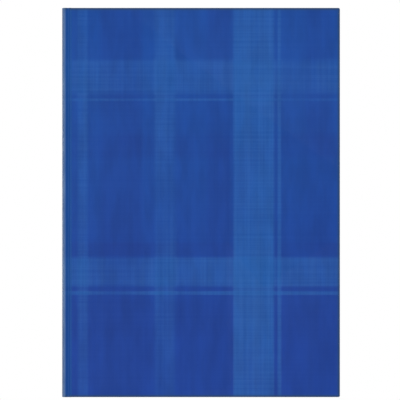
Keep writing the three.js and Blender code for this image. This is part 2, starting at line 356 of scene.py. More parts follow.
@dataclass(frozen=True)
class PrintedCover(Finish):
    """Coated paper, offset printed with a soft check and laminated.

    The threads are drawn 2 mm apart, coarser than printed ones are, so that they show from afar.
    """

    field: str = "#1248a0"
    head: str = "#114ba3"
    head_y: Point = (0.0, 150.0)
    tail: str = "#14409d"
    tail_y: Point = (40.0, -110.0)
    light: str = "#1257a9"
    light_upright: tuple[Band, ...] = (
        Band(41.0, 15.5, 1.6, 0.75),
        Band(61.0, 1.4, 0.9, 0.45),
        Band(-28.0, 8.0, 2.4, 0.35),
        Band(-92.0, 4.0, 1.5, 0.3),
    )
    light_level: tuple[Band, ...] = (
        Band(-54.0, 11.0, 2.0, 0.5),
        Band(-70.5, 1.3, 0.9, 0.6),
        Band(98.0, 13.0, 3.0, 0.35),
        Band(80.0, 1.0, 0.7, 0.35),
    )
    dark: str = "#143d96"
    dark_upright: tuple[Band, ...] = (
        Band(14.0, 9.0, 3.0, 0.55),
        Band(-62.0, 16.0, 3.0, 0.5),
        Band(92.0, 10.0, 4.0, 0.4),
    )
    dark_level: tuple[Band, ...] = (
        Band(-36.0, 5.0, 1.5, 0.6),
        Band(-90.0, 14.0, 4.0, 0.4),
        Band(44.0, 9.0, 3.0, 0.35),
    )
    cloud: Grain = Grain((50.0, 83.3, 50.0), 3.0)
    light_cloud: Ramp = (0.3, 0.65, 0.45, 1.0)
    dark_cloud: Ramp = (0.7, 0.35, 0.4, 1.0)
    thread: str = "#5f9ee8"
    upright_threads: Grain = Grain((2.0, 250.0, 250.0), 4.0, 0.65)
    level_threads: Grain = Grain((250.0, 2.0, 250.0), 4.0, 0.65)
    thread_edges: Ramp = (0.25, 0.75)
    thread_share: Ramp = (0.0, 0.4, 0.016, 0.075)
    brush: Grain = Grain((8.33, 33.3, 8.33), 3.0)
    brush_shade: Ramp = (0.25, 0.75, 0.89, 1.05)
    # painted shade: the joint grooves are tinted a greener blue, for the shade that lies in them
    pressed: str = "#0c529c"
    groove_shade_share: Ramp = (3.1, 2.6, 0.0, 0.6)  # by how far from a joint's middle
    shoulder: Ramp = (6.6, 8.2)  # by how far from the closed book's middle along Z
    # painted shade: within about 3 mm of each rim the blue turns greyer and darker, where the
    # rounded edges fall into shade
    crease: str = "#2c4a62"
    crease_share: Ramp = (2.9, 0.2, 0.0, 0.8)  # by how far from the rim
    # painted highlight: a pale grey-blue along the spine's rounded edge, broken into streaks,
    # stands for the light that this edge reflects
    spine_highlight: str = "#8dabc8"
    spine_highlight_share: Ramp = (-104.7, -106.5, 0.0, 0.3)  # by X
    spine_highlight_streaks: Grain = Grain((2.0, 16.7, 2.0), 4.0)
    spine_highlight_uneven: Ramp = (0.3, 0.7, 0.75, 1.25)
    peel: Grain = Grain((0.625, 0.625, 0.625), 3.0)  # the film's slight unevenness
    peel_depth: float = 0.006
    roughness: Ramp = (0.3, 0.7, 0.32, 0.4)

    def shader(self, add: Adder, place: Socket) -> Socket:
        """Adds the print and the laminate.

        Args:
            add: Adds a node.
            place: The place on the piece.

        Returns:
            The surface's socket.
        """
        peel = self.peel.value(add, place)
        return add(
            "BsdfPrincipled",
            {
                "Base Color": self.painted_light(add, place, self.printed(add, place)),
                "Roughness": add("MapRange", (peel, *self.roughness), **SOFT),
                "Specular IOR Level": 0.3,
                "Coat Weight": 0.1,
                "Coat Roughness": 0.22,
                "Normal": add("Bump", {"Distance": self.peel_depth * MM, "Height": peel}),
            },
        )

    def printed(self, add: Adder, place: Socket) -> Socket:
        """Adds the field, the bands, the threads and the brushed unevenness.

        Args:
            add: Adds a node.
            place: The place on the piece.

        Returns:
            The socket of the printed colour.
        """
        x, y, _ = add("SeparateXYZ", (place,)).node.outputs
        colour = self.field
        for ramp, shade in ((self.head_y, self.head), (self.tail_y, self.tail)):
            share = add("MapRange", (y, *ramp), **SOFT)
            colour = add("Mix", (share, colour, shade), **COLOURS)
        cloud = self.cloud.value(add, place)
        for upright, level, patches, shade in (
            (self.dark_upright, self.dark_level, self.dark_cloud, self.dark),
            (self.light_upright, self.light_level, self.light_cloud, self.light),
        ):
            crossing = sum_of_bands(add, x, upright), sum_of_bands(add, y, level)
            bands = add("Math", crossing, operation="ADD")
            patchy = add("MapRange", (cloud, *patches), **SOFT)
            bands = add("Math", (bands, patchy), operation="MULTIPLY", use_clamp=True)
            colour = add("Mix", (bands, colour, shade), **COLOURS)
        threads = self.threads(add, place, bands)
        colour = add("Mix", (threads, colour, self.thread), **COLOURS)
        brushed = add("MapRange", (self.brush.value(add, place), *self.brush_shade), **SOFT)
        grey = add("CombineColor", (brushed, brushed, brushed))
        return add("Mix", (1.0, colour, grey), blend_type="MULTIPLY", **COLOURS)

    def threads(self, add: Adder, place: Socket, bands: Socket) -> Socket:
        """Adds the printed threads, which show most within the light bands.

        Args:
            add: Adds a node.
            place: The place on the piece.
            bands: The light bands' strength.

        Returns:
            The socket of the thread colour's share.
        """
        upright, level = (
            add("MapRange", (grain.value(add, place), *self.thread_edges), **SOFT)
            for grain in (self.upright_threads, self.level_threads)
        )
        crossing = add("Math", (upright, level), operation="ADD")
        share = add("MapRange", (bands, *self.thread_share), **SOFT)
        return add("Math", (crossing, share), operation="MULTIPLY")

    def painted_light(self, add: Adder, place: Socket, colour: Socket) -> Socket:
        """Paints shade into the joint grooves and along the rims, and a highlight along the spine's
        edge.

        Args:
            add: Adds a node.
            place: The place on the piece.
            colour: The printed colour.

        Returns:
            The colour's socket.
        """
        x, y, z = add("SeparateXYZ", (place,)).node.outputs
        joint_x = (layout().cover_edge + layout().spine_edge) / 2
        aside, height, across, along = (
            add("Math", (add("Math", (axis, middle), operation="SUBTRACT"),), operation="ABSOLUTE")
            for axis, middle in ((x, joint_x), (z, layout().middle), (x, 0.0), (y, 0.0))
        )
        pressed = add("MapRange", (aside, *self.groove_shade_share), **SOFT)
        shoulder = add("MapRange", (height, *self.shoulder), **SOFT)
        across = add("Math", (layout().half_width, across), operation="SUBTRACT")
        along = add("Math", (layout().half_height, along), operation="SUBTRACT")
        rim = add("Math", (across, along), operation="MINIMUM")
        rim_shaded = add("MapRange", (rim, *self.crease_share), **SOFT)
        rim_shaded = add("Math", (rim_shaded, shoulder), operation="MULTIPLY")
        streaks = self.spine_highlight_streaks.value(add, place)
        streaks = add("MapRange", (streaks, *self.spine_highlight_uneven), **SOFT)
        highlighted = add("MapRange", (x, *self.spine_highlight_share), **SOFT)
        highlighted = add("Math", (streaks, highlighted), operation="MULTIPLY")
        highlighted = add("Math", (highlighted, shoulder), operation="MULTIPLY")
        # mixes in the painted shade of the grooves and rims, and the painted highlight on the
        # spine's edge
        for share, shade in ((pressed, self.pressed), (rim_shaded, self.crease), (highlighted, self.spine_highlight)):
            colour = add("Mix", (share, colour, shade), **COLOURS)
        return colour


@dataclass(frozen=True)
class Paper(Finish):
    """Uncoated wood-free paper, smoothed between rollers, ruled by offset print if asked.

    A cut stack's leaves are drawn 0.15 mm apart, where they are 0.11 mm, so that they show.
    """

    colour: str
    shade: str
    ruling: str | None = None
    square: float = 5.0
    line: float = 0.2
    ruled_x: Point = (-95.0, 100.0)
    ruled_y: Point = (-145.0, 140.0)
    ink: float = 0.8
    stacked: bool = False
    fibres: Grain = Grain((0.4545, 1.25, 0.4545), 5.0, 0.6)
    fibre_share: Ramp = (0.45, 0.75, 0.0, 0.25)
    mottle: Grain = Grain((8.33, 8.33, 8.33), 3.0)
    mottle_share: Ramp = (0.35, 0.7, 0.0, 0.16)
    leaves: Grain = Grain((50.0, 50.0, 0.1538), 2.0, 0.7)
    leaf_share: Ramp = (0.4, 0.62, 0.0, 0.4)
    leaf_line: str = "#c9c5b8"
    leaf_ridge: float = 5.0
    relief: float = 0.012
    sideways: float = 0.4  # the steepest face that still counts as a cut edge

    def shader(self, add: Adder, place: Socket) -> Socket:
        """Adds the sheet's fibres, its cut edges and its ruling.

        Args:
            add: Adds a node.
            place: The place on the piece.

        Returns:
            The surface's socket.
        """
        height = fibres = self.fibres.value(add, place)
        mottle = self.mottle.value(add, place)
        colour = self.colour
        for grain, ramp in ((mottle, self.mottle_share), (fibres, self.fibre_share)):
            share = add("MapRange", (grain, *ramp), **SOFT)
            colour = add("Mix", (share, colour, self.shade), **COLOURS)
        if self.ruling:
            ruled = self.ruled(add, place)
            colour = add("Mix", (ruled, colour, self.ruling), **COLOURS)
        if self.stacked:
            edge = self.cut_edge(add)
            leaves = self.leaves.value(add, place)
            lines = add("MapRange", (leaves, *self.leaf_share), **SOFT)
            lines = add("Math", (edge, lines), operation="MULTIPLY")
            colour = add("Mix", (lines, colour, self.leaf_line), **COLOURS)
            ridges = add("Math", (leaves, self.leaf_ridge), operation="MULTIPLY")
            ridges = add("Math", (edge, ridges), operation="MULTIPLY")
            height = add("Math", (fibres, ridges), operation="ADD")
        return add(
            "BsdfPrincipled",
            {
                "Base Color": colour,
                "Roughness": 0.86,
                "Specular IOR Level": 0.25,
                "Sheen Weight": 0.08,
                "Normal": add("Bump", {"Distance": self.relief * MM, "Height": height}),
            },
        )

    def ruled(self, add: Adder, place: Socket) -> Socket:
        """Adds the squares' lines.

        Args:
            add: Adds a node.
            place: The place on the piece.

        Returns:
            The socket of the ink's share.
        """
        x, y, _ = add("SeparateXYZ", (place,)).node.outputs
        lines: float | Socket = 0.0
        inside: float | Socket = self.ink
        for axis, (low, high) in ((x, self.ruled_x), (y, self.ruled_y)):
            start = add("Math", (axis, low), operation="SUBTRACT")
            wave = add("Math", (start, self.square / 2), operation="PINGPONG")
            line = add("MapRange", (wave, self.line, self.line / 2), **SOFT)
            lines = add("Math", (lines, line), operation="MAXIMUM")
            for test, limit in (("GREATER_THAN", low - self.line), ("LESS_THAN", high + self.line)):
                within = add("Math", (axis, limit), operation=test)
                inside = add("Math", (inside, within), operation="MULTIPLY")
        if self.stacked:
            face = add("Math", (1.0, self.cut_edge(add)), operation="SUBTRACT")
            inside = add("Math", (inside, face), operation="MULTIPLY")
        return add("Math", (lines, inside), operation="MULTIPLY")

    def cut_edge(self, add: Adder) -> Socket:
        """Tells the cut edge of a stack of leaves by the way that its faces look.

        Args:
            add: Adds a node.

        Returns:
            The socket, 1 on faces that look sideways in the piece's own frame.
        """
        up = add("SeparateXYZ", (add("TexCoord", output="Normal"),), "Z")
        steep = add("Math", (up,), operation="ABSOLUTE")
        return add("Math", (steep, self.sideways), operation="LESS_THAN")


@dataclass(frozen=True)
class FibreSheet(Finish):
    """Board or lining paper pressed from coarse pulp, with flecks or laid lines in it."""

    colour: str
    shade: str
    fibres: Grain
    fibre_share: Ramp | None
    marks: Grain
    mark_share: Ramp
    relief: float
    roughness: float

    def shader(self, add: Adder, place: Socket) -> Socket:
        """Adds the fibres, and the flecks or laid lines.

        Args:
            add: Adds a node.
            place: The place on the piece.

        Returns:
            The surface's socket.
        """
        fibres = self.fibres.value(add, place)
        marks = self.marks.value(add, place)
        colour = self.colour
        for grain, ramp in ((fibres, self.fibre_share), (marks, self.mark_share)):
            if ramp:
                share = add("MapRange", (grain, *ramp), **SOFT)
                colour = add("Mix", (share, colour, self.shade), **COLOURS)
        return add(
            "BsdfPrincipled",
            {
                "Base Color": colour,
                "Roughness": self.roughness,
                "Normal": add("Bump", {"Distance": self.relief * MM, "Height": fibres}),
            },
        )


@dataclass(frozen=True)
class Gauze(Finish):
    """Starched open cotton cloth, its threads a little wider apart than real, so that they show."""

    colour: str = "#e8e2d2"
    gap: str = "#a39b86"
    pitch: float = 1.1
    thread_edge: Point = (0.28, 0.38)  # as shares of the pitch
    relief: float = 0.08

    def shader(self, add: Adder, place: Socket) -> Socket:
        """Adds the crossing threads and the glue between them.

        Args:
            add: Adds a node.
            place: The place on the piece.

        Returns:
            The surface's socket.
        """
        x, y, z = add("SeparateXYZ", (place,)).node.outputs
        level = add("Math", (x, z), operation="ADD")
        waves = [add("Math", (axis, self.pitch / 2), operation="PINGPONG") for axis in (level, y)]
        weave = add("Math", waves, operation="MAXIMUM")
        edge = (self.pitch * share for share in self.thread_edge)
        solid = add("MapRange", (weave, *edge), **SOFT)
        return add(
            "BsdfPrincipled",
            {
                "Base Color": add("Mix", (solid, self.gap, self.colour), **COLOURS),
                "Roughness": 0.85,
                "Sheen Weight": 0.1,
                "Normal": add("Bump", {"Distance": self.relief * MM, "Height": solid}),
            },
        )


@dataclass(frozen=True)
class BandCloth(Finish):
    """Head and tail bands: cotton threads woven over a bead, in stripes of two colours.

    The threads are drawn 0.2 mm thick, a little coarser than real ones, so that they show.
    """

    colour: str = "#f0eee6"
    stripe: str = "#2a4fa0"
    # painted shade: the dark lines between the threads, where their shade falls
    groove: str = "#3c4152"
    stripe_width: float = 1.2
    stripe_edge: Point = (0.48, 0.52)  # as shares of a stripe
    wander: Grain = Grain((0.833, 0.833, 5.0), 2.0)
    wander_by: float = 0.16
    thread: float = 0.2
    groove_share: Ramp = (0.2, 0.0, 0.0, 0.45)  # the first two as shares of a thread
    relief: float = 0.12

    def shader(self, add: Adder, place: Socket) -> Socket:
        """Adds the stripes, the ridge of each thread and the painted shade between the threads.

        Args:
            add: Adds a node.
            place: The place on the piece.

        Returns:
            The surface's socket.
        """
        z = add("SeparateXYZ", (place,), "Z")
        wander = add("Math", (self.wander.value(add, place), self.wander_by), operation="MULTIPLY")
        height = add("Math", (z, wander), operation="ADD")
        part = add("Math", (height, self.stripe_width), operation="PINGPONG")
        edge = (self.stripe_width * share for share in self.stripe_edge)
        stripe = add("MapRange", (part, *edge), **SOFT)
        colour = add("Mix", (stripe, self.colour, self.stripe), **COLOURS)
        ridge = add("Math", (height, self.thread / 2), operation="PINGPONG")
        start, end, low, high = self.groove_share
        groove = add("MapRange", (ridge, start * self.thread, end * self.thread, low, high), **SOFT)
        return add(
            "BsdfPrincipled",
            {
                "Base Color": add("Mix", (groove, colour, self.groove), **COLOURS),
                "Roughness": 0.5,
                "Sheen Weight": 0.3,
                "Normal": add("Bump", {"Distance": self.relief * MM, "Height": ridge}),
            },
        )


@dataclass(frozen=True)
class Thread(Finish):
    """Waxed linen thread, twisted from two plies."""

    colour: str = "#f1ead8"
    shade: str = "#cdc2a6"
    twist: float = 0.5
    ply_edge: Ramp = (0.02, 0.14)
    relief: float = 0.1

    def shader(self, add: Adder, place: Socket) -> Socket:
        """Adds the twist.

        Args:
            add: Adds a node.
            place: The place on the piece.

        Returns:
            The surface's socket.
        """
        x, y, z = add("SeparateXYZ", (place,)).node.outputs
        slant = add("Math", (add("Math", (y, x), operation="ADD"), z), operation="ADD")
        ridge = add("Math", (slant, self.twist / 2), operation="PINGPONG")
        ply = add("MapRange", (ridge, *self.ply_edge), **SOFT)
        return add(
            "BsdfPrincipled",
            {
                "Base Color": add("Mix", (ply, self.shade, self.colour), **COLOURS),
                "Roughness": 0.7,
                "Sheen Weight": 0.15,
                "Normal": add("Bump", {"Distance": self.relief * MM, "Height": ridge}),
            },
        )


@dataclass(frozen=True)
class StudioWhite(Finish):
    """The floor: plain white to the camera from above, and not there from below."""

    lit: str = "#c8c8c8"
    seen: str = "#ffffff"

    def shader(self, add: Adder, place: Socket) -> Socket:
        """Adds the white, which lights nothing by itself.

        Args:
            add: Adds a node.
            place: The place on the floor, which it doesn't use.

        Returns:
            The surface's socket.
        """
        rays = add("LightPath").node.outputs
        seen = add("Emission", {"Color": self.seen, "Strength": 1.0})
        mirrored = add("Math", (rays["Is Camera Ray"], rays["Is Glossy Ray"]), operation="MAXIMUM")
        top = add("MixShader", (mirrored, add("BsdfDiffuse", {"Color": self.lit}), seen))
        behind = add("NewGeometry", output="Backfacing")
        return add("MixShader", (behind, top, add("BsdfTransparent")))


# A deep blue field, crossed by soft wide bands and threads of lighter blue, under a satin film.
COVER_PRINT = PrintedCover("laminated_cover_print", Slot.COVER)
LEAF_COLOURS = ("#f6f5ef", "#e9e6da", "#9dabd8")  # paper, fibres and ruling
# Matt warm white with faint fibres, and pale blue 5 mm squares.
WRITING_PAPER = Paper("ruled_writing_paper", Slot.PAPER, *LEAF_COLOURS)
# The same leaves as a block, whose cut edges show as fine uneven lines.
SECTION_PAPER = Paper("stacked_writing_paper", Slot.PAPER, *LEAF_COLOURS, stacked=True)
# A shade darker and more ivory than the leaves, and plain.
ENDPAPER = Paper("ivory_endpaper", Slot.ENDPAPER, "#f1f0ea", "#e2dfd2")
# Felted grey of recycled fibre with darker flecks, wholly matt.
BOARD = FibreSheet(
    "flecked_greyboard",
    Slot.BOARD,
    colour="#98938a",
    shade="#6f6a62",
    fibres=Grain((0.667, 0.667, 0.2), 6.0, 0.65),
    fibre_share=None,
    marks=Grain((0.286, 0.833, 0.286), 2.0),
    mark_share=(0.6, 0.7, 0.0, 0.7),
    relief=0.05,
    roughness=0.92,
)
# Brown with long fibres and faint laid lines.
KRAFT = FibreSheet(
    "kraft_lining_paper",
    Slot.KRAFT,
    colour="#b08c5f",
    shade="#94734a",
    fibres=Grain((0.833, 4.0, 0.833), 5.0, 0.6),
    fibre_share=(0.4, 0.7),
    marks=Grain((20.0, 0.714, 20.0), 1.0),
    mark_share=(0.5, 0.7, 0.0, 0.25),
    relief=0.03,
    roughness=0.8,
)
# Thin pale threads that cross round darker square holes full of glue.
GAUZE = Gauze("starched_gauze", Slot.GAUZE)
# Short blue and white stripes of round threads, with painted shade between them and a soft shine.
BAND_CLOTH = BandCloth("woven_band_cloth", Slot.BAND)
# Cream, with slanting ridges that catch the light.
THREAD = Thread("twisted_linen_thread", Slot.THREAD)
# White without a shadow.
FLOOR_WHITE = StudioWhite("studio_white", None)

# The finish of each of the frame's own nodes that stays in view, by how its name starts.
RIGID_FINISHES = {
    "section": SECTION_PAPER,
    "sewing_thread": THREAD,
    "spine_lining": KRAFT,
    "head_band": BAND_CLOTH,
    "tail_band": BAND_CLOTH,
    "spine_board": BOARD,
    "front_board": BOARD,
    "back_board": BOARD,
    "front_mull_wing": GAUZE,
    "back_mull_wing": GAUZE,
    "front_pastedown": ENDPAPER,
    "back_pastedown": ENDPAPER,
}


# Modelling


def start_piece(name: str, primitive: Callable[..., set]) -> Piece:
    """Adds a primitive at the origin and opens it for editing with all of it selected.

    Args:
        name: The piece's name.
        primitive: The operator that adds the primitive.

    Returns:
        The object, in edit mode.
    """
    bpy.ops.object.select_all(action="DESELECT")
    primitive(size=1.0)
    piece = bpy.context.active_object
    piece.name = piece.data.name = name
    bpy.ops.object.mode_set(mode="EDIT")
    bpy.ops.mesh.select_all(action="SELECT")
    return piece


def start_box(name: str, box: Box) -> Piece:
    """Starts a piece as a closed box.

    Args:
        name: The piece's name.
        box: Its place.

    Returns:
        The object, in edit mode.
    """
    piece = start_piece(name, bpy.ops.mesh.primitive_cube_add)
    ends = list(zip(box.low, box.high))
    bpy.ops.transform.resize(value=tuple((high - low) * MM for low, high in ends))
    bpy.ops.transform.translate(value=tuple((low + high) / 2 * MM for low, high in ends))
    return piece


def choose_faces(piece: Piece, rule: Rule) -> None:
    """Selects the faces that a rule accepts, and nothing else.

    Args:
        piece: The object, in edit mode.
        rule: Tells by a face's centre and normal.
    """
    bpy.ops.mesh.select_mode(type="FACE")
    bpy.ops.mesh.select_all(action="DESELECT")
    bpy.ops.object.mode_set(mode="OBJECT")
    for face in piece.data.polygons:
        face.select = bool(rule(face.center / MM, face.normal))
    bpy.ops.object.mode_set(mode="EDIT")


def round_edges(piece: Piece, rule: Rule, radius: float, steps: int) -> None:
    """Rounds the edges that a rule accepts.

    Args:
        piece: The object, in edit mode.
        rule: Tells by an edge's two ends.
        radius: The radius.
        steps: The number of faces round it.
    """
    bpy.ops.mesh.select_mode(type="EDGE")
    bpy.ops.mesh.select_all(action="DESELECT")
    bpy.ops.object.mode_set(mode="OBJECT")
    vertices = piece.data.vertices
    for edge in piece.data.edges:
        edge.select = bool(rule(*(vertices[i].co / MM for i in edge.vertices)))
    bpy.ops.object.mode_set(mode="EDIT")
    bpy.ops.mesh.bevel(offset=radius * MM, segments=steps, affect="EDGES")


def cut_faces(piece: Piece, rule: Rule, place: Sequence[float], normal: Sequence[float]) -> None:
    """Cuts the faces that a rule accepts along the plane through a place, and keeps both halves."""
    choose_faces(piece, rule)
    bpy.ops.mesh.bisect(plane_co=tuple(c * MM for c in place), plane_no=tuple(normal))


def cut_ends(piece: Piece, rule: Rule, window: float) -> None:
    """Cuts the faces that a rule accepts where the turned-in head and tail end."""
    for y in (window, -window):
        cut_faces(piece, rule, (0.0, y, 0.0), (0.0, 1.0, 0.0))


def open_faces(piece: Piece, rule: Rule) -> None:
    """Takes away the faces that a rule accepts."""
    choose_faces(piece, rule)
    bpy.ops.mesh.delete(type="FACE")


def thicken(piece: Piece, thickness: float, offset: float) -> None:
    """Gives a sheet its thickness, and leaves it in edit mode.

    Args:
        piece: The object, in edit mode.
        thickness: The thickness.
        offset: -1 for inwards of the surface, 0 for half to each side.
    """
    bpy.ops.object.mode_set(mode="OBJECT")
    modifier = piece.modifiers.new("thickness", "SOLIDIFY")
    modifier.thickness = thickness * MM
    modifier.offset = offset
    modifier.use_even_offset = True
    modifier.use_quality_normals = True
    bpy.ops.object.modifier_apply(modifier=modifier.name)
    bpy.ops.object.mode_set(mode="EDIT")


def close_piece(piece: Piece, finish: Finish, smooth: float = 35.0) -> Piece:
    """Leaves edit mode, turns the faces outwards, smooths them and gives the piece its finish.

    Args:
        piece: The object, in edit mode.
        finish: Its finish.
        smooth: The sharpest angle that still looks round, in degrees.

    Returns:
        The piece.
    """
    bpy.ops.mesh.select_mode(type="FACE")
    bpy.ops.mesh.select_all(action="SELECT")
    bpy.ops.mesh.normals_make_consistent(inside=False)
    bpy.ops.object.mode_set(mode="OBJECT")
    bpy.ops.object.shade_smooth_by_angle(angle=math.radians(smooth))
    rest = piece.data.attributes.new(REST_PLACE, "FLOAT_VECTOR", "POINT")
    rest.data.foreach_set("vector", [c for v in piece.data.vertices for c in v.co])
    piece.data.materials.clear()
    piece.data.materials.append(finish.material(Coordinates.REST))
    return piece


def extrude_along(points: Sequence[Triple]) -> None:
    """Extrudes what is selected from the first of a row of points to the last.

    Args:
        points: The points.
    """
    for before, after in zip(points, points[1:]):
        move = {"value": tuple((b - a) * MM for a, b in zip(before, after))}
        bpy.ops.mesh.extrude_region_move(TRANSFORM_OT_translate=move)


def swept_sheet(
    name: str, across: Sequence[Point], path: Sequence[Point], thickness: float, finish: Finish
) -> Piece:
    """Models a thin sheet: an outline across the book's height, carried along a path.

    Args:
        name: The piece's name.
        across: The outline's points, as Y and a height over the path.
        path: The path's points, as X and Z.
        thickness: The sheet's thickness, half to each side of the outline.
        finish: Its finish.

    Returns:
        The piece.
    """
    piece = start_piece(name, bpy.ops.mesh.primitive_plane_add)
    bpy.ops.mesh.merge(type="CENTER")
    bpy.ops.mesh.select_mode(type="VERT")
    bpy.ops.mesh.select_all(action="SELECT")
    first = (path[0][0], across[0][0], path[0][1] + across[0][1])
    bpy.ops.transform.translate(value=tuple(c * MM for c in first))
    extrude_along([(0.0, y, z) for y, z in across])
    bpy.ops.mesh.select_all(action="SELECT")
    extrude_along([(x, 0.0, z) for x, z in path])
    thicken(piece, thickness, 0.0)
    return close_piece(piece, finish)


def leaf_path(
    start_x: float, end_x: float, level: float, steps: int = 16, flats: int = 6
) -> list[Point]:
    """Gives a leaf's points, close together where it bends.

    Args:
        start_x: Its edge at the fold.
        end_x: Its fore edge.
        level: Its height.
        steps: The number of parts where it bends.
        flats: The number of parts beyond.

    Returns:
        The points as X and Z.
    """
    bend_x, length = layout().leaf_bend, layout().leaf_curve
    curve = [(bend_x + length * i / steps, level) for i in range(steps + 1)]
    flat_x = bend_x + length
    flat = [(flat_x + (end_x - flat_x) * i / flats, level) for i in range(1, flats + 1)]
    return [(start_x, level), *curve, *flat]


def bend(piece: Piece, body: str, start_x: float, end_x: float, *nodes: str) -> None:
    """Bakes a sheet's place into its mesh and hides the frame's nodes that it stands for.

    Args:
        piece: The sheet.
        body: The body that the sheet goes with, which only the log names.
        start_x: Where it would begin to follow that body; not used.
        end_x: Where it would follow it fully; not used.
        nodes: The nodes that it stands for.
    """
    held, turning = ((x * MM, 0.0, layout().middle * MM) for x in (start_x, end_x))
    if body == Side.FRONT.cover:
        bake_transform(piece)
    else:
        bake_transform(piece)
    if nodes:
        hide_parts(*nodes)
    LOG.info("%s bends with %s", piece.name, body)


def ride(piece: Piece, body: str, *nodes: str) -> None:
    """Lets a piece ride on a body, in place of the frame's nodes.

    Args:
        piece: The piece.
        body: The body that it rides on.
        nodes: The nodes that it stands for.
    """
    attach(piece, body)
    if nodes:
        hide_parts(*nodes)
    LOG.info("%s rides on %s", piece.name, body)


# Sub-assemblies


@dataclass(frozen=True)
class BoardCovering:
    """The paper round one cover board: flat outside, turned in and mitred inside."""

    side: Side
    box: Box
    mitre_gap: float = 0.3

    @property
    def window(self) -> Point:
        """How far the opening between the turned-in edges reaches along X and Y."""
        return self.box.high[0] - layout().turn_in, self.box.high[1] - layout().turn_in

    def is_outer_edge(self, a: Vector, b: Vector) -> bool:
        """Tells whether an edge lies away from the spine end, by its two ends."""
        return max(a.x, b.x) > self.box.low[0] + APART

    def is_spine_end(self, centre: Vector, normal: Vector) -> bool:
        """Tells whether a face is the end beside the joint, by its centre and normal."""
        return normal.x < -FACING

    def is_inner(self, centre: Vector, normal: Vector) -> bool:
        """Tells whether a face is part of the turned-in edges, by its centre and normal."""
        return abs(centre.z - self.side.inner(self.box)) < 2 * TOUCH and abs(normal.z) > FACING

    def is_joint_side(self, centre: Vector, normal: Vector) -> bool:
        """Tells whether a face of the spine end lies between the turned-in head and tail."""
        return self.is_spine_end(centre, normal) and abs(centre.y) < self.window[1]

    def is_window(self, centre: Vector, normal: Vector) -> bool:
        """Tells whether an inner face lies in the opening between the turned-in edges."""
        in_reach = centre.x < self.window[0] and abs(centre.y) < self.window[1]
        return self.is_inner(centre, normal) and in_reach

    def is_mitre(self, end: int, centre: Vector, normal: Vector) -> bool:
        """Tells whether an inner face lies in the slanting gap at one end's corner.

        Args:
            end: 1 for the head, -1 for the tail.
            centre: The face's centre.
            normal: Its normal.

        Returns:
            Whether it does.
        """
        beyond_x, beyond_y = centre.x - self.window[0], end * centre.y - self.window[1]
        in_gap = abs(beyond_x - beyond_y) / math.sqrt(2) < self.mitre_gap / 2
        return self.is_inner(centre, normal) and in_gap and min(beyond_x, beyond_y) > -APART

    def build(self) -> None:
        """Models the covering with its closed ends and its turned-in edges."""
        piece = start_box(f"{self.side.word}_cover_paper", self.box)
        round_edges(piece, self.is_outer_edge, layout().edge_round, layout().edge_steps)
        window_x, window_y = self.window
        cut_ends(piece, self.is_spine_end, window_y)
        open_faces(piece, self.is_joint_side)
        cut_faces(piece, self.is_inner, (window_x, 0.0, 0.0), (1.0, 0.0, 0.0))
        cut_ends(piece, self.is_inner, window_y)
        open_faces(piece, self.is_window)
        for end in (1, -1):
            normal = Vector((1.0, -end, 0.0)).normalized()
            corner = Vector((window_x, end * window_y, 0.0))
            for shift in (-self.mitre_gap / 2, self.mitre_gap / 2):
                cut_faces(piece, self.is_inner, corner + normal * shift, normal)
            open_faces(piece, partial(self.is_mitre, end))
        thicken(piece, layout().covering, -1.0)
        close_piece(piece, COVER_PRINT)
        ride(piece, self.side.cover, f"{self.side.word}_covering")


@dataclass(frozen=True)
class SpineCovering:
    """The paper round the spine board: round along both long edges, turned in at head and tail."""

    box: Box
    long_round: float = 2.0
    long_steps: int = 10
    end_round: float = 0.5
    end_steps: int = 3

    @property
    def window(self) -> float:
        """How far the opening between the turned-in head and tail reaches along Y."""
        return self.box.high[1] - layout().turn_in

    def is_long_edge(self, a: Vector, b: Vector) -> bool:
        """Tells whether an edge is one of the spine's long outer ones, by its two ends."""
        at_back = max(a.x, b.x) < self.box.low[0] + TOUCH
        return at_back and abs(a.y - b.y) > APART

    def is_end_edge(self, a: Vector, b: Vector) -> bool:
        """Tells whether an edge lies round the head or tail, by its two ends."""
        at_end = abs(abs(a.y) - self.box.high[1]) < TOUCH and abs(a.y - b.y) < TOUCH
        return at_end and min(a.x, b.x) < self.box.high[0] - TOUCH

    def is_inner(self, centre: Vector, normal: Vector) -> bool:
        """Tells whether a face looks into the book, by its centre and normal."""
        return normal.x > FACING

    def is_window(self, centre: Vector, normal: Vector) -> bool:
        """Tells whether an inner face lies between the turned-in head and tail."""
        return self.is_inner(centre, normal) and abs(centre.y) < self.window

    def build(self) -> None:
        """Models the covering."""
        piece = start_box("spine_cover_paper", self.box)
        round_edges(piece, self.is_long_edge, self.long_round, self.long_steps)
        round_edges(piece, self.is_end_edge, self.end_round, self.end_steps)
        cut_ends(piece, self.is_inner, self.window)
        open_faces(piece, self.is_window)
        thicken(piece, layout().covering, -1.0)
        close_piece(piece, COVER_PRINT)
        ride(piece, "text_block", "spine_covering")


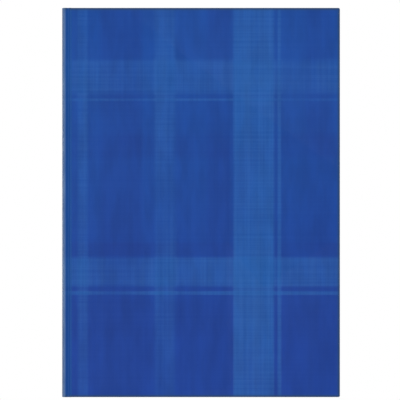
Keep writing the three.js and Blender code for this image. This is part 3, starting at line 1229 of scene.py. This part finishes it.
@dataclass(frozen=True)
class JointCovering:
    """The paper across one joint: a smooth pressed groove, doubled by its turned-in ends."""

    side: Side
    box: Box
    depth: float = 1.1
    steps: int = 28
    # how far the turned end's points stand out, and at what share of the drop
    lip: tuple[Point, ...] = ((0.0, 0.65), (0.02, 0.5), (0.0, 0.35))
    lip_start: float = 0.1
    thickness: float = 0.24  # so that the doubled ends don't touch

    def build(self) -> None:
        """Models the covering."""
        width = layout().cover_edge - layout().spine_edge
        path = []
        for i in range(self.steps + 1):
            share = i / self.steps
            slope = (1 - math.cos(2 * math.pi * share)) / 2
            sink = self.depth * slope + layout().covering / 2
            level = self.side.outer(self.box) - self.side.value * sink
            path.append((layout().spine_edge + width * share, level))
        half = self.box.high[1] - layout().covering / 2
        drop = -self.side.value * layout().covering
        turned = [(half - layout().turn_in, drop), (half - self.lip_start, drop)]
        turned += [(half + beyond, drop * share) for beyond, share in self.lip]
        turned.append((half - self.lip_start, 0.0))
        across = [(-y, z) for y, z in turned] + turned[::-1]
        word, ends = self.side.word, (layout().spine_edge, layout().cover_edge)
        piece = swept_sheet(f"{word}_joint_paper", across, path, self.thickness, COVER_PRINT)
        bend(piece, self.side.cover, *ends, f"{word}_joint_covering")


@dataclass(frozen=True)
class Mull:
    """The gauze glued over the folds, which carries the covers across both joints."""

    thickness: float = 0.2
    strip_steps: int = 8
    flap_steps: int = 20
    flap_held: float = 0.4  # from the folds' outside to where a flap bends

    def build(self) -> None:
        """Models the strip on the folds and one flap in each joint."""
        box = Box.of_node("spine_mull")
        x = box.low[0] + self.thickness / 2
        low, high = box.low[2] + self.thickness / 2, box.high[2] - self.thickness / 2
        rise, steps = high - low, self.strip_steps
        upright = [(x, low + rise * i / steps) for i in range(steps + 1)]
        strip = swept_sheet("gauze_on_folds", box.straight, upright, self.thickness, GAUZE)
        ride(strip, "text_block", "spine_mull")
        length, steps = layout().cover_edge - x, self.flap_steps
        for side, level in ((Side.FRONT, high), (Side.BACK, low)):
            path = [(x + length * i / steps, level) for i in range(steps + 1)]
            name = f"{side.word}_joint_gauze"
            flap = swept_sheet(name, box.straight, path, self.thickness, GAUZE)
            bend(flap, side.cover, layout().fold_tip + self.flap_held, layout().cover_edge)


@dataclass(frozen=True)
class Endpaper:
    """One folded endpaper: the strip across the joint, and the free flyleaf."""

    side: Side
    thickness: float = 0.16
    fold_steps: int = 8
    joint_steps: int = 20

    def build(self) -> None:
        """Models the folded strip and the flyleaf."""
        side, word = self.side, self.side.word
        strip_box, leaf_box = Box.of_node(f"{word}_hinge_strip"), Box.of_node(f"{word}_flyleaf")
        across = leaf_box.straight
        near = (leaf_box.low[2] + leaf_box.high[2]) / 2
        far = side.outer(strip_box) - side.value * self.thickness / 2
        radius = abs(far - near) / 2
        fold_x = strip_box.low[0] + self.thickness / 2 + radius
        path = []
        for i in range(self.fold_steps + 1):
            angle = math.pi * i / self.fold_steps
            level = (near + far) / 2 - side.value * radius * math.cos(angle)
            path.append((fold_x - radius * math.sin(angle), level))
        length, steps = layout().cover_edge - fold_x, self.joint_steps
        path += [(fold_x + length * i / steps, far) for i in range(1, steps + 1)]
        strip = swept_sheet(f"{word}_endpaper_fold", across, path, self.thickness, ENDPAPER)
        bend(strip, side.cover, fold_x, layout().cover_edge, f"{word}_hinge_strip")
        path = leaf_path(fold_x, leaf_box.high[0], near)
        leaf = swept_sheet(f"{word}_free_endpaper", across, path, self.thickness, ENDPAPER)
        end_x = layout().leaf_bend + layout().leaf_curve
        bend(leaf, f"{word}_flyleaf", layout().leaf_bend, end_x, f"{word}_flyleaf")


@dataclass(frozen=True)
class LooseLeaves:
    """The writing leaves of one side that lift as its cover opens."""

    side: Side
    count: int
    held: float = 0.3  # from the fold's edge of a leaf to where it bends

    def build(self) -> None:
        """Models the leaves."""
        for number in range(1, self.count + 1):
            node = f"{self.side.word}_leaf_{number}"
            box = Box.of_node(node)
            level = (box.low[2] + box.high[2]) / 2
            sheet = swept_sheet(
                f"{self.side.word}_writing_leaf_{number}",
                box.straight,
                leaf_path(layout().leaf_bend - self.held, box.high[0], level),
                box.high[2] - box.low[2],
                WRITING_PAPER,
            )
            bend(sheet, node, layout().leaf_bend, layout().leaf_bend + layout().leaf_curve, node)


@dataclass(frozen=True)
class RigidParts:
    """The frame's own nodes that stay in view, each with its finish."""

    nodes: dict[str, Piece]

    def build(self) -> None:
        """Gives the nodes still shown their finish, and the cover boards their round edges."""
        for name, node in sorted(self.nodes.items()):
            if node.hide_render:
                continue
            finish = next(f for start, f in RIGID_FINISHES.items() if name.startswith(start))
            node.data.materials.clear()
            node.data.materials.append(finish.material())
            if name in ("front_board", "back_board"):
                node.modifiers.new("joined_faces", "WELD")
                edges = node.modifiers.new("pressed_edges", "BEVEL")
                edges.width = (layout().edge_round - layout().covering) * MM
                edges.segments = layout().edge_steps
                edges.limit_method = "ANGLE"
            LOG.info("%s is %s", name, finish.name)


# Studio


@dataclass(frozen=True)
class Lamp:
    """One soft square lamp that looks at the notebook, in metres and watts."""

    name: str
    place: Triple
    size: float
    power: float
    mirrored: bool = True  # whether glossy surfaces mirror it
    lighting: bool = True  # whether it lights matt surfaces

    def hang(self) -> None:
        """Hangs the lamp."""
        data = bpy.data.lights.new(self.name, "AREA")
        data.size = self.size
        data.energy = self.power
        lamp = bpy.data.objects.new(self.name, data)
        lamp.location = self.place
        lamp.rotation_euler = (-Vector(self.place)).to_track_quat("-Z", "Y").to_euler()
        lamp.visible_glossy = self.mirrored
        lamp.visible_diffuse = self.lighting
        bpy.context.scene.collection.objects.link(lamp)


@dataclass(frozen=True)
class Studio:
    """The camera straight above, soft lamps and a plain white floor, in metres."""

    centre: Point = (-0.00078, 0.00195)
    view_width: float = 0.3114
    cover_height: float = 0.0166
    camera_height: float = 2.5
    sensor_width: float = 36.0  # in millimetres, as a camera's is
    view_depth: float = 50.0
    floor_height: float = -0.45
    floor_size: float = 8.0
    air: str = "#ffffff"
    around: float = 0.65  # the air's strength as a light
    mirrored_air: float = 0.02  # and as glossy surfaces mirror it
    lamps: tuple[Lamp, ...] = (
        Lamp("overhead_lamp", (0.0, 0.0, 2.4), 1.4, 15.5, mirrored=False),
        Lamp("key_lamp", (-1.2, -0.2, 1.7), 1.6, 4.0),
        Lamp("side_lamp", (-1.3, 0.0, -0.12), 0.5, 8.0, lighting=False),
    )

    def camera(self) -> None:
        """Sets the camera as the photograph's: straight down, with a long lens."""
        data = bpy.data.cameras.new("camera")
        data.sensor_width = self.sensor_width
        data.lens = data.sensor_width * (self.camera_height - self.cover_height) / self.view_width
        data.clip_end = self.view_depth
        camera = bpy.data.objects.new("camera", data)
        camera.location = (*self.centre, self.camera_height)
        bpy.context.scene.collection.objects.link(camera)
        bpy.context.scene.camera = camera

    def floor(self) -> None:
        """Lays the floor, below the reach of the opened back cover."""
        bpy.ops.object.select_all(action="DESELECT")
        spot = (0.0, 0.0, self.floor_height)
        bpy.ops.mesh.primitive_plane_add(size=self.floor_size, location=spot)
        floor = bpy.context.active_object
        floor.name = "studio_floor"
        floor.data.materials.append(FLOOR_WHITE.material())

    def world(self) -> None:
        """Makes the air round the notebook white to the camera and soft grey as a light."""
        world = bpy.data.worlds.new("studio")
        bpy.context.scene.world = world
        world.use_nodes = True
        world.node_tree.nodes.clear()
        add = partial(add_node, world.node_tree)
        rays = add("LightPath").node.outputs
        camera, glossy = rays["Is Camera Ray"], rays["Is Glossy Ray"]
        light = {"Value": glossy, "To Min": self.around, "To Max": self.mirrored_air}
        light = add("MapRange", light)
        strength = add("MapRange", {"Value": camera, "To Min": light, "To Max": 1.0})
        air = add("Background", {"Color": self.air, "Strength": strength})
        add("OutputWorld", {"Surface": air})

    def build(self) -> None:
        """Sets the whole studio."""
        self.camera()
        self.floor()
        self.world()
        for lamp in self.lamps:
            lamp.hang()


def main() -> None:
    """Builds the studio and every piece of the notebook, in order."""
    logging.basicConfig(level=logging.INFO, stream=sys.stdout, format="%(message)s")
    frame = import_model()
    bpy.context.scene.view_settings.view_transform = "Standard"
    Studio().build()
    SpineCovering(Box.of_node("spine_covering")).build()
    for side in Side:
        BoardCovering(side, Box.of_node(f"{side.word}_covering")).build()
        JointCovering(side, Box.of_node(f"{side.word}_joint_covering")).build()
    Mull().build()
    for side in Side:
        Endpaper(side).build()
    LooseLeaves(Side.FRONT, count=3).build()
    LooseLeaves(Side.BACK, count=2).build()
    RigidParts(frame["nodes"]).build()


if __name__ == "__main__":
    main()
